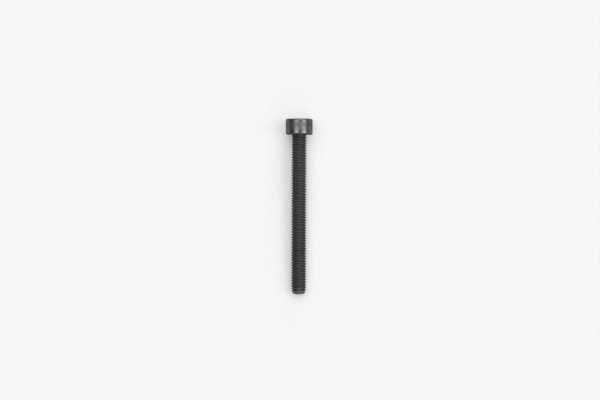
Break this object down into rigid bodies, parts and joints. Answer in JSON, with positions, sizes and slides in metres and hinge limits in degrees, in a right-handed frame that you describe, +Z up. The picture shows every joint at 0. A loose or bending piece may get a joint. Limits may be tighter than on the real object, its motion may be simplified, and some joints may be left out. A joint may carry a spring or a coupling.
{
  "type": "socket head cap screw",
  "caption": "Cylindrical-head cap screw with a hexagon socket and a shank threaded along its whole length to a tapered lead, for clamping parts to a nut or tapped hole.",
  "frame": {"origin": "centre of the bounding box's footprint on the surface the screw lies on", "axes": "+Z up from the surface; +Y along the screw's length towards the tip, in plan; the head is towards -Y; the screw's own axis slopes down by about 2.1 degrees towards the tip, because it rests on the head's rim and on the last full turn of the thread"},
  "size_m": [0.0084, 0.0546, 0.0086],
  "materials": {
    "black_steel": "satin black oxide"
  },
  "bodies": {
    "root": {"cap_screw": "black_steel"}
  },
  "joints": []
}
